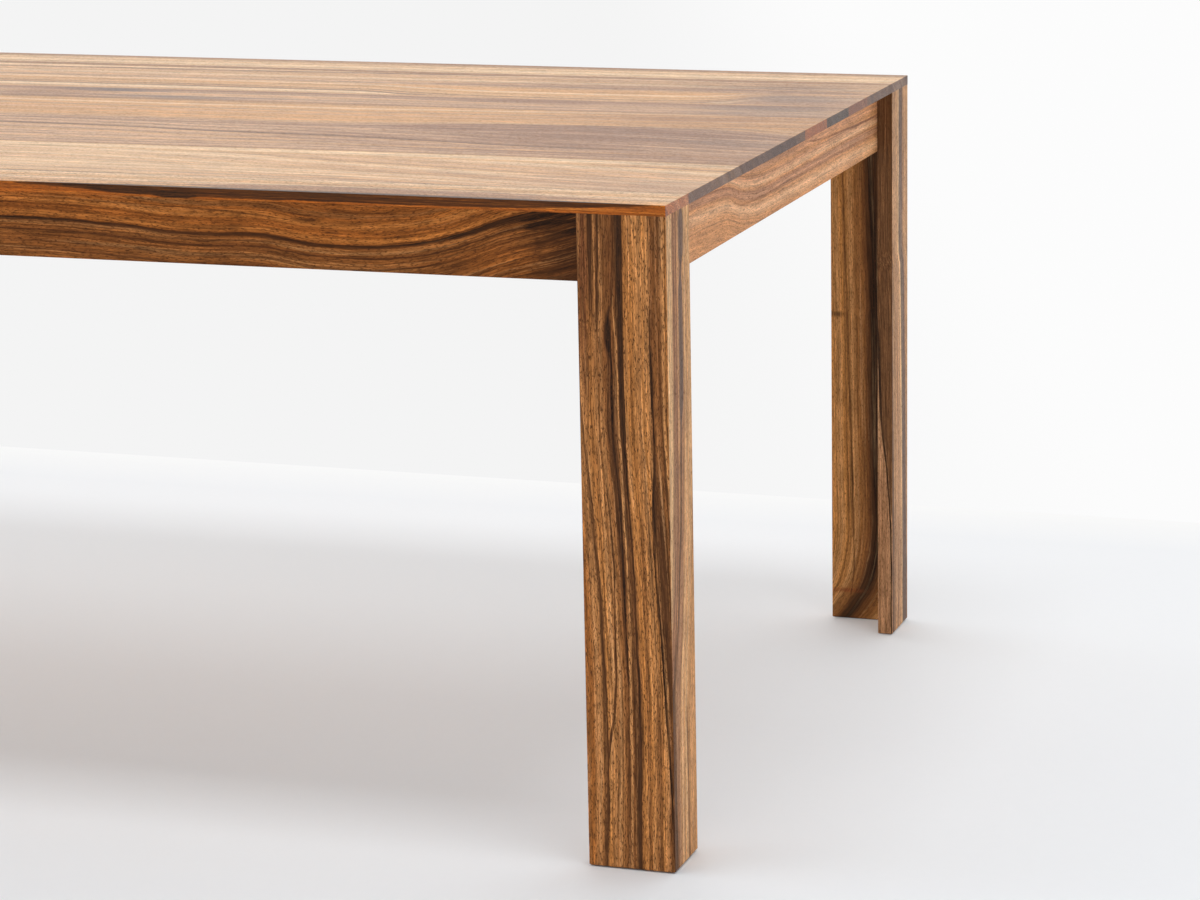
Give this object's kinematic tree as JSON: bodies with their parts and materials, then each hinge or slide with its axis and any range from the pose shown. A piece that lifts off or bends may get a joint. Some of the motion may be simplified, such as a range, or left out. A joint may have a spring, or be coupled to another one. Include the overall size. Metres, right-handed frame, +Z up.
{
  "type": "dining table",
  "caption": "Rectangular walnut dining table with a thin edge-glued top, a recessed apron frame and mitred L-section corner legs flush with the top.",
  "frame": {"origin": "on the floor, under the middle of the top", "axes": "+X along the table's length towards its right end, +Y from the front side to the rear side, +Z up"},
  "size_m": [2.2, 1.05, 0.75],
  "materials": {
    "walnut_top": "oiled walnut staves, satin, grain along the length",
    "walnut_apron": "oiled walnut, satin, grain along the board",
    "walnut_leg": "oiled walnut, satin, upright grain that runs round the mitre",
    "walnut_frame": "planed walnut, plain inner boards",
    "beech_joinery": "plain beech dowels and tongues",
    "zinc_steel": "bright zinc-plated steel",
    "brass_inserts": "turned brass",
    "glide_plastic": "dark moulded plastic"
  },
  "bodies": {
    "root": {"apron_dowels": "beech_joinery", "cross_rail_1": "walnut_frame", "cross_rail_2": "walnut_frame", "cross_rail_3": "walnut_frame", "foot_glides": "glide_plastic", "front_apron": "walnut_apron", "front_left_glue_block": "walnut_frame", "front_left_leg_return_board": "walnut_leg", "front_left_leg_spline": "beech_joinery", "front_left_leg_wide_board": "walnut_leg", "front_right_glue_block": "walnut_frame", "front_right_leg_return_board": "walnut_leg", "front_right_leg_spline": "beech_joinery", "front_right_leg_wide_board": "walnut_leg", "left_end_apron": "walnut_apron", "leg_bolt_washers": "zinc_steel", "leg_bolts": "zinc_steel", "rail_dowels": "beech_joinery", "rear_apron": "walnut_apron", "rear_left_glue_block": "walnut_frame", "rear_left_leg_return_board": "walnut_leg", "rear_left_leg_spline": "beech_joinery", "rear_left_leg_wide_board": "walnut_leg", "rear_right_glue_block": "walnut_frame", "rear_right_leg_return_board": "walnut_leg", "rear_right_leg_spline": "beech_joinery", "rear_right_leg_wide_board": "walnut_leg", "right_end_apron": "walnut_apron", "threaded_inserts": "brass_inserts", "top_clip_screws": "zinc_steel", "top_clips": "zinc_steel", "top_stave_01": "walnut_top", "top_stave_02": "walnut_top", "top_stave_03": "walnut_top", "top_stave_04": "walnut_top", "top_stave_05": "walnut_top", "top_stave_06": "walnut_top", "top_stave_07": "walnut_top", "top_stave_08": "walnut_top", "top_stave_09": "walnut_top", "top_stave_10": "walnut_top", "top_stave_11": "walnut_top"}
  },
  "joints": []
}
